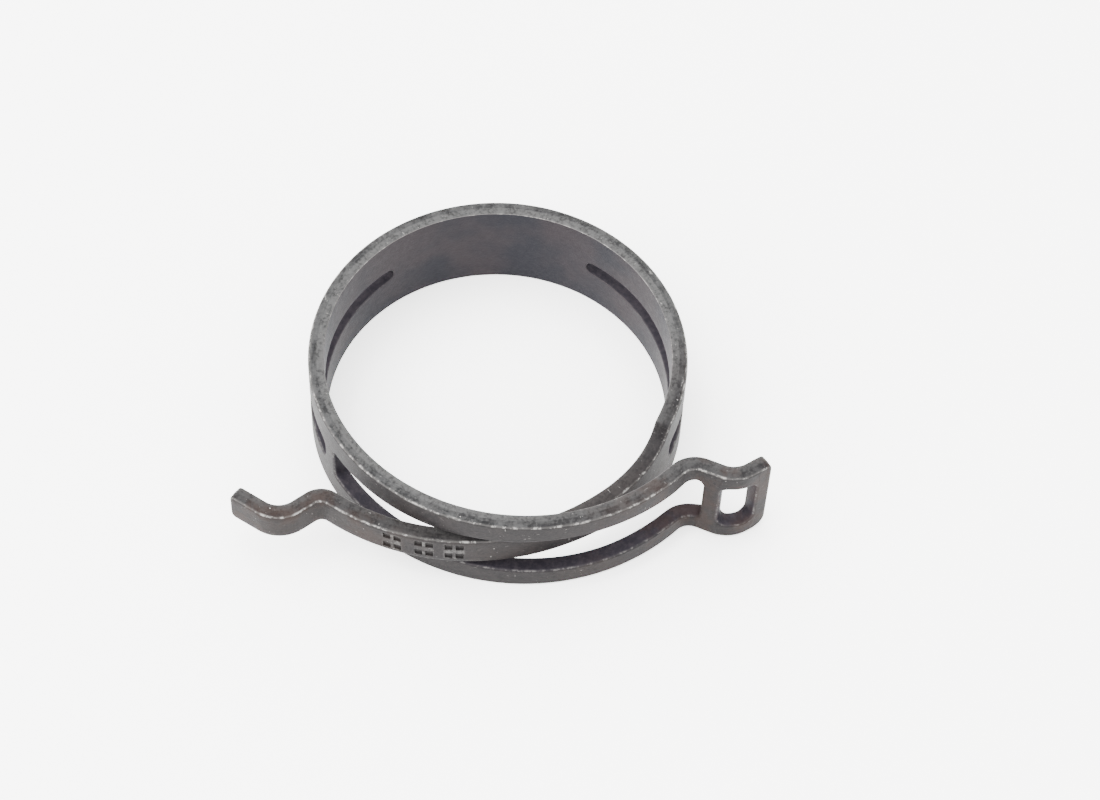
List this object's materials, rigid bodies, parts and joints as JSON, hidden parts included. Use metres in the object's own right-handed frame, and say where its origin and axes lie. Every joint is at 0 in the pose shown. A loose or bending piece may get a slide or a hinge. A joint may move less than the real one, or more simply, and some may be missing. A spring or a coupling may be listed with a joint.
{
  "type": "spring band hose clamp",
  "caption": "Constant-tension spring band hose clamp: a rolled steel strip whose tongue end passes through a window in its forked end, with two wavy ears for pliers.",
  "frame": {"origin": "on the axis of the bore, at the strip's lower edge", "axes": "+Z along the bore, +Y towards the back of the ring opposite the overlap, +X towards the forked ear"},
  "size_m": [0.0735, 0.0546, 0.015],
  "materials": {
    "spring_steel": "dull dark zinc-flake and phosphate coating over hardened spring steel, worn bright along the sheared edges"
  },
  "bodies": {
    "band_back": {"band_back": "spring_steel"},
    "left_1": {"band_left_1": "spring_steel"},
    "left_2": {"left_upper_rail_2": "spring_steel", "left_lower_rail_2": "spring_steel"},
    "left_3": {"left_upper_rail_3": "spring_steel", "left_lower_rail_3": "spring_steel"},
    "left_4": {"band_left_4": "spring_steel"},
    "left_5": {"fork_web": "spring_steel", "upper_leg_root": "spring_steel", "lower_leg_root": "spring_steel"},
    "left_6": {"upper_leg": "spring_steel", "lower_leg": "spring_steel", "fork_ear": "spring_steel"},
    "right_1": {"band_right_1": "spring_steel"},
    "right_2": {"right_upper_rail_2": "spring_steel", "right_lower_rail_2": "spring_steel"},
    "right_3": {"right_upper_rail_3": "spring_steel", "right_lower_rail_3": "spring_steel"},
    "right_4": {"right_upper_rail_4": "spring_steel", "right_lower_rail_4": "spring_steel"},
    "right_5": {"tongue_shoulder": "spring_steel"},
    "right_6": {"tongue_blade": "spring_steel", "tongue_ear": "spring_steel"}
  },
  "joints": [
    {"name": "left_bend_1", "type": "hinge", "parent": "band_back", "child": "left_1", "pos_m": [-0.00594, 0.02439, 0.0075], "axis": [0, 0, -1], "range_deg": [0, 2.5], "stiffness_Nm_per_rad": 1.5},
    {"name": "left_bend_2", "type": "hinge", "parent": "left_1", "child": "left_2", "pos_m": [-0.01612, 0.01924, 0.0075], "axis": [0, 0, -1], "range_deg": [0, 2.5]},
    {"name": "left_bend_3", "type": "hinge", "parent": "left_2", "child": "left_3", "pos_m": [-0.02296, 0.01013, 0.0075], "axis": [0, 0, -1], "range_deg": [0, 2.5]},
    {"name": "left_bend_4", "type": "hinge", "parent": "left_3", "child": "left_4", "pos_m": [-0.02509, -0.00057, 0.0075], "axis": [0, 0, -1], "range_deg": [0, 2.5]},
    {"name": "left_bend_5", "type": "hinge", "parent": "left_4", "child": "left_5", "pos_m": [-0.02278, -0.01054, 0.0075], "axis": [0, 0, -1], "range_deg": [0, 2.5]},
    {"name": "left_bend_6", "type": "hinge", "parent": "left_5", "child": "left_6", "pos_m": [-0.01618, -0.0195, 0.0075], "axis": [0, 0, -1], "range_deg": [0, 2.5]},
    {"name": "right_bend_1", "type": "hinge", "parent": "band_back", "child": "right_1", "pos_m": [0.00594, 0.02439, 0.0075], "axis": [0, 0, 1], "range_deg": [0, 2.5]},
    {"name": "right_bend_2", "type": "hinge", "parent": "right_1", "child": "right_2", "pos_m": [0.01612, 0.01924, 0.0075], "axis": [0, 0, 1], "range_deg": [0, 2.5]},
    {"name": "right_bend_3", "type": "hinge", "parent": "right_2", "child": "right_3", "pos_m": [0.02296, 0.01013, 0.0075], "axis": [0, 0, 1], "range_deg": [0, 2.5]},
    {"name": "right_bend_4", "type": "hinge", "parent": "right_3", "child": "right_4", "pos_m": [0.02509, -0.00057, 0.0075], "axis": [0, 0, 1], "range_deg": [0, 2.5]},
    {"name": "right_bend_5", "type": "hinge", "parent": "right_4", "child": "right_5", "pos_m": [0.02278, -0.01054, 0.0075], "axis": [0, 0, 1], "range_deg": [0, 2.5]},
    {"name": "right_bend_6", "type": "hinge", "parent": "right_5", "child": "right_6", "pos_m": [0.016, -0.01934, 0.0075], "axis": [0, 0, 1], "range_deg": [0, 2.5]}
  ],
  "couplings": [
    {"joint": "left_bend_2", "follows": "left_bend_1", "ratio": 1},
    {"joint": "left_bend_3", "follows": "left_bend_1", "ratio": 1},
    {"joint": "left_bend_4", "follows": "left_bend_1", "ratio": 1},
    {"joint": "left_bend_5", "follows": "left_bend_1", "ratio": 1},
    {"joint": "left_bend_6", "follows": "left_bend_1", "ratio": 1},
    {"joint": "right_bend_1", "follows": "left_bend_1", "ratio": 1},
    {"joint": "right_bend_2", "follows": "left_bend_1", "ratio": 1},
    {"joint": "right_bend_3", "follows": "left_bend_1", "ratio": 1},
    {"joint": "right_bend_4", "follows": "left_bend_1", "ratio": 1},
    {"joint": "right_bend_5", "follows": "left_bend_1", "ratio": 1},
    {"joint": "right_bend_6", "follows": "left_bend_1", "ratio": 1}
  ]
}
